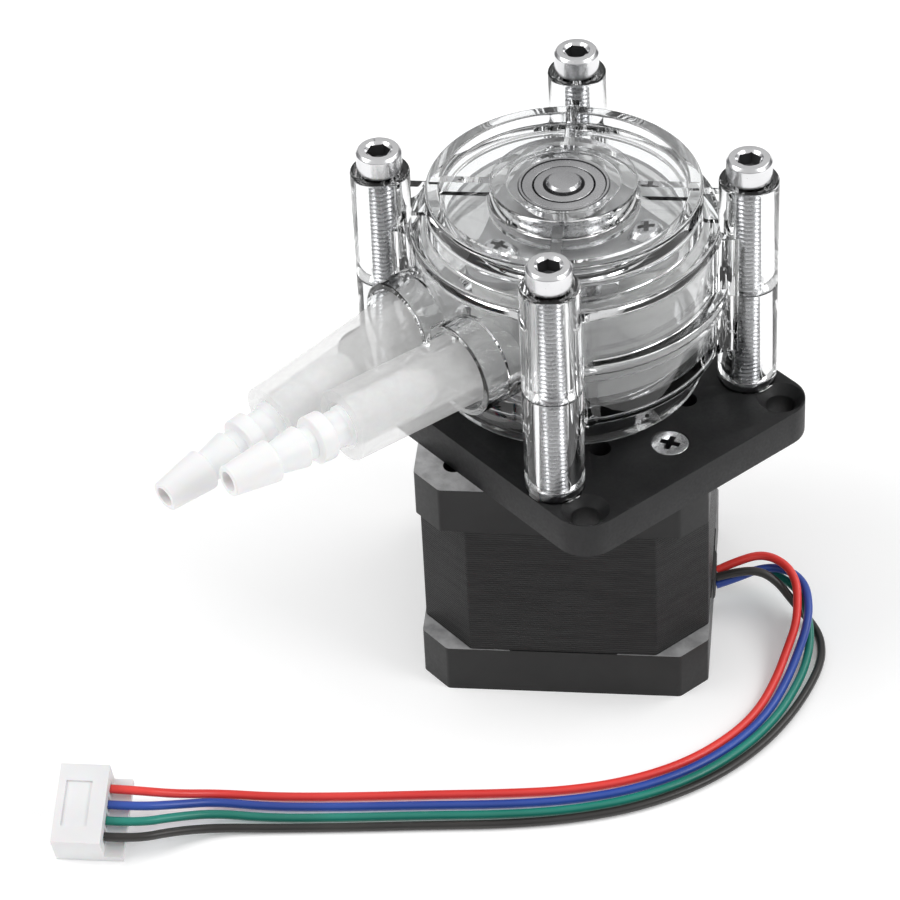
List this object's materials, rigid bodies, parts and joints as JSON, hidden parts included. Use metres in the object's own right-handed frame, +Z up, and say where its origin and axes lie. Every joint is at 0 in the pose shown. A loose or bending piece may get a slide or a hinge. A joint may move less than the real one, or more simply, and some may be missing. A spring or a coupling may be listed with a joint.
{
  "type": "peristaltic pump",
  "caption": "Peristaltic pump with a clear roller head on an adapter plate, square stepper motor, two barbed tube ends and wires to a white plug.",
  "frame": {"origin": "centre of the motor's rear face, which stands on Z = 0", "axes": "+Z up the motor and pump shaft, both tube ends leave along -Y, +X towards the level inlet tube; the motor is turned 45 degrees about Z under the plate"},
  "size_m": [0.0731, 0.1199, 0.0825],
  "materials": {
    "motor_black": "satin",
    "stack_steel": "satin",
    "copper": "gloss",
    "screw_steel": "polished",
    "bush_black": "matte",
    "bearing_steel": "polished",
    "magnet_grey": "satin",
    "plate_black": "satin",
    "clear_plastic": "clear gloss",
    "rotor_metal": "satin",
    "roller_plastic": "satin",
    "tube_silicone": "translucent satin",
    "fitting_white": "satin",
    "plug_white": "satin",
    "tinned": "satin",
    "red": "satin",
    "blue": "satin",
    "green": "satin",
    "black": "satin"
  },
  "bodies": {
    "pump_frame": {"adapter_plate": "plate_black", "casing_base": "clear_plastic", "casing_bolts": "screw_steel", "casing_cover": "clear_plastic", "connector_housing": "plug_white", "connector_terminals": "tinned", "motor_front_bearing_outer_ring": "bearing_steel", "motor_front_bell": "motor_black", "motor_rear_bearing_outer_ring": "bearing_steel", "motor_rear_bell": "motor_black", "motor_screws": "screw_steel", "motor_stator": "stack_steel", "motor_wave_washer": "bearing_steel", "motor_windings": "copper", "motor_wire_bush": "bush_black", "plate_screws": "screw_steel", "pump_bearing_outer_ring": "bearing_steel", "pump_bearing_shields": "bearing_steel", "pump_tube": "tube_silicone", "tube_connector_inlet": "fitting_white", "tube_connector_outlet": "fitting_white", "wire_black": "black", "wire_blue": "blue", "wire_green": "green", "wire_red": "red"},
    "rotor": {"motor_shaft": "bearing_steel", "motor_magnet": "magnet_grey", "rotor_hub": "bearing_steel", "rotor_set_screw": "screw_steel", "rotor_plate_upper": "rotor_metal", "rotor_plate_lower": "rotor_metal", "roller_pins": "bearing_steel", "rotor_screws": "screw_steel", "rotor_lower_studs": "screw_steel", "pump_bearing_inner_ring": "bearing_steel", "motor_front_bearing_inner_ring": "bearing_steel", "motor_rear_bearing_inner_ring": "bearing_steel"},
    "roller_a": {"roller_1": "roller_plastic"},
    "roller_b": {"roller_2": "roller_plastic"},
    "roller_c": {"roller_3": "roller_plastic"},
    "pump_ball_set": {"pump_bearing_balls": "bearing_steel"},
    "front_ball_set": {"motor_front_bearing_balls": "bearing_steel"},
    "rear_ball_set": {"motor_rear_bearing_balls": "bearing_steel"}
  },
  "joints": [
    {"name": "rotor_spin", "type": "hinge", "parent": "pump_frame", "child": "rotor", "pos_m": [0, 0, 0.0615], "axis": [0, 0, 1], "continuous": true},
    {"name": "roller_a_spin", "type": "hinge", "parent": "rotor", "child": "roller_a", "pos_m": [0, -0.012, 0.0615], "axis": [0, 0, 1], "continuous": true},
    {"name": "roller_b_spin", "type": "hinge", "parent": "rotor", "child": "roller_b", "pos_m": [0.01039, 0.006, 0.0615], "axis": [0, 0, 1], "continuous": true},
    {"name": "roller_c_spin", "type": "hinge", "parent": "rotor", "child": "roller_c", "pos_m": [-0.01039, 0.006, 0.0615], "axis": [0, 0, 1], "continuous": true},
    {"name": "pump_ball_set_spin", "type": "hinge", "parent": "pump_frame", "child": "pump_ball_set", "pos_m": [0, 0, 0.0753], "axis": [0, 0, 1], "continuous": true},
    {"name": "front_ball_set_spin", "type": "hinge", "parent": "pump_frame", "child": "front_ball_set", "pos_m": [0, 0, 0.0343], "axis": [0, 0, 1], "continuous": true},
    {"name": "rear_ball_set_spin", "type": "hinge", "parent": "pump_frame", "child": "rear_ball_set", "pos_m": [0, 0, 0.0047], "axis": [0, 0, 1], "continuous": true}
  ],
  "couplings": [
    {"joint": "roller_a_spin", "follows": "rotor_spin", "ratio": -4},
    {"joint": "roller_b_spin", "follows": "rotor_spin", "ratio": -4},
    {"joint": "roller_c_spin", "follows": "rotor_spin", "ratio": -4},
    {"joint": "pump_ball_set_spin", "follows": "rotor_spin", "ratio": 0.4},
    {"joint": "front_ball_set_spin", "follows": "rotor_spin", "ratio": 0.3429},
    {"joint": "rear_ball_set_spin", "follows": "rotor_spin", "ratio": 0.3429}
  ]
}
